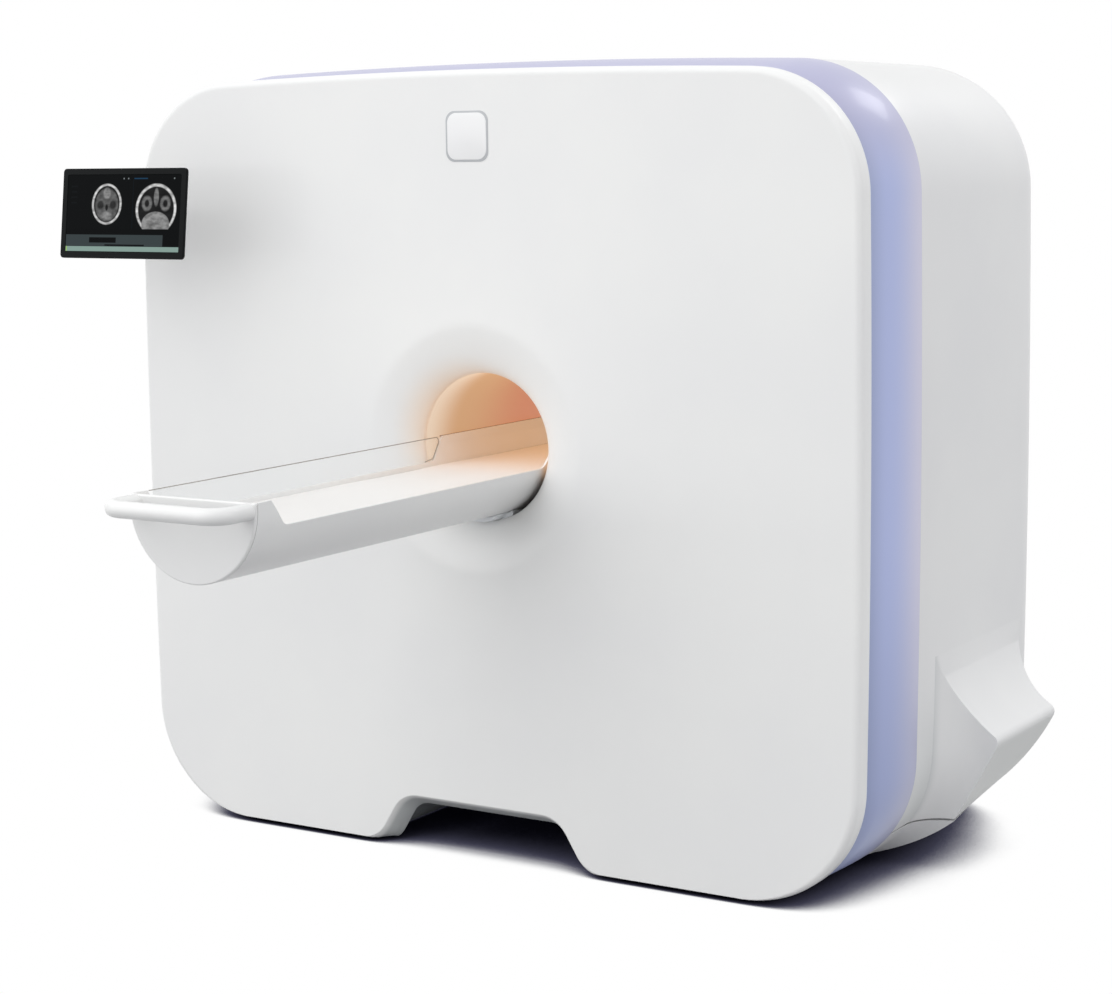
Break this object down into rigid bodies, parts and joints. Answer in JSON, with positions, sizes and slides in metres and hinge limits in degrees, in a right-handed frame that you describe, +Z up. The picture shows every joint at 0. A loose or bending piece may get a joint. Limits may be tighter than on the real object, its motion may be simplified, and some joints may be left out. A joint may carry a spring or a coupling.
{
  "type": "infant mri scanner",
  "caption": "Compact infant MRI scanner: bowed white front cover with a round lit bore, lilac light band, deep rear housing, sliding half-round tray and a monitor on a swing arm.",
  "frame": {"origin": "on the floor, on the middle plane of the bore, midway between the front of the tray handle and the rear of the housing", "axes": "+X to the viewer's right across the front cover, +Y from the tray into the machine along the bore, +Z up"},
  "size_m": [1.958, 1.905, 1.63],
  "materials": {
    "cover_white": "painted moulded cover, satin white",
    "housing_white": "painted moulded housing, satin white",
    "band_lilac": "milky lilac diffuser, smooth",
    "light_strip": "clear potting over small lamps",
    "pin_steel": "ground steel",
    "black_plastic": "fine grain black plastic",
    "bezel_black": "satin black frame",
    "lining_grey": "plain grey moulding",
    "frame_paint": "grey powder coat",
    "cabinet_paint": "dark powder coat",
    "rubber_black": "matt rubber",
    "vessel_steel": "brushed stainless steel",
    "shield_metal": "plain aluminium",
    "potting": "cast resin",
    "copper": "bare copper",
    "bore_warm": "smooth milky lining, lit warm from behind",
    "rail_grey": "slippery grey plastic",
    "tray_white": "smooth white moulding",
    "mattress_vinyl": "wipe-clean white cover",
    "guard_clear": "clear acrylic",
    "arm_paint": "light grey powder coat",
    "screen_glass": "screen under flat glass"
  },
  "bodies": {
    "scanner": {"front_cover": "cover_white", "bore_mouth": "cover_white", "light_band": "band_lilac", "band_light_strip": "light_strip", "rear_housing": "housing_white", "rear_cover": "housing_white", "rear_screws": "pin_steel", "mains_inlet": "black_plastic", "skirt_right": "housing_white", "skirt_left": "housing_white", "fairing_right": "housing_white", "fairing_left": "housing_white", "arch_lining": "lining_grey", "base_frame": "frame_paint", "foot_pads": "rubber_black", "magnet_cradle": "frame_paint", "magnet_vessel": "vessel_steel", "heat_shield": "shield_metal", "coil_former": "potting", "main_coils": "copper", "hanger_posts": "potting", "cold_neck": "vessel_steel", "cold_head": "shield_metal", "gradient_coil": "potting", "gradient_rings": "rubber_black", "rf_former": "lining_grey", "rf_birdcage": "copper", "rf_rings": "rubber_black", "bore_light_ring": "bore_warm", "bore_lining": "bore_warm", "tray_rail": "rail_grey", "gradient_amplifier": "cabinet_paint", "rf_amplifier": "cabinet_paint", "power_supply": "cabinet_paint", "control_unit": "cabinet_paint", "fan_frame": "black_plastic", "arm_bracket": "arm_paint", "arm_pin": "pin_steel"},
    "tray": {"tray_shell": "tray_white", "tray_end_cap": "tray_white", "tray_handle": "tray_white", "tray_deck": "lining_grey", "tray_shoe": "black_plastic", "mattress": "mattress_vinyl", "side_guard": "guard_clear"},
    "arm": {"swing_arm": "arm_paint", "head_pin": "pin_steel"},
    "head": {"swivel_head": "black_plastic", "tilt_pin": "pin_steel"},
    "screen": {"monitor_housing": "black_plastic", "monitor_bezel": "bezel_black", "monitor_screen": "screen_glass"},
    "fan": {"fan_rotor": "black_plastic"}
  },
  "joints": [
    {"name": "tray_slide", "type": "slide", "parent": "scanner", "child": "tray", "axis": [0, 1, 0], "range_m": [-0.27, 0.38]},
    {"name": "arm_swing", "type": "hinge", "parent": "scanner", "child": "arm", "pos_m": [-0.925, 0.3425, 1.326], "axis": [0, 0, 1], "range_deg": [-110, 0]},
    {"name": "head_swivel", "type": "hinge", "parent": "arm", "child": "head", "pos_m": [-0.728, -0.1085, 1.326], "axis": [0, 0, 1], "range_deg": [-10, 35]},
    {"name": "screen_tilt", "type": "hinge", "parent": "head", "child": "screen", "pos_m": [-0.728, -0.1485, 1.326], "axis": [1, 0, 0], "range_deg": [-14, 12]},
    {"name": "fan_spin", "type": "hinge", "parent": "scanner", "child": "fan", "pos_m": [0.5, 0.9205, 0.34], "axis": [0, 1, 0], "continuous": true}
  ]
}
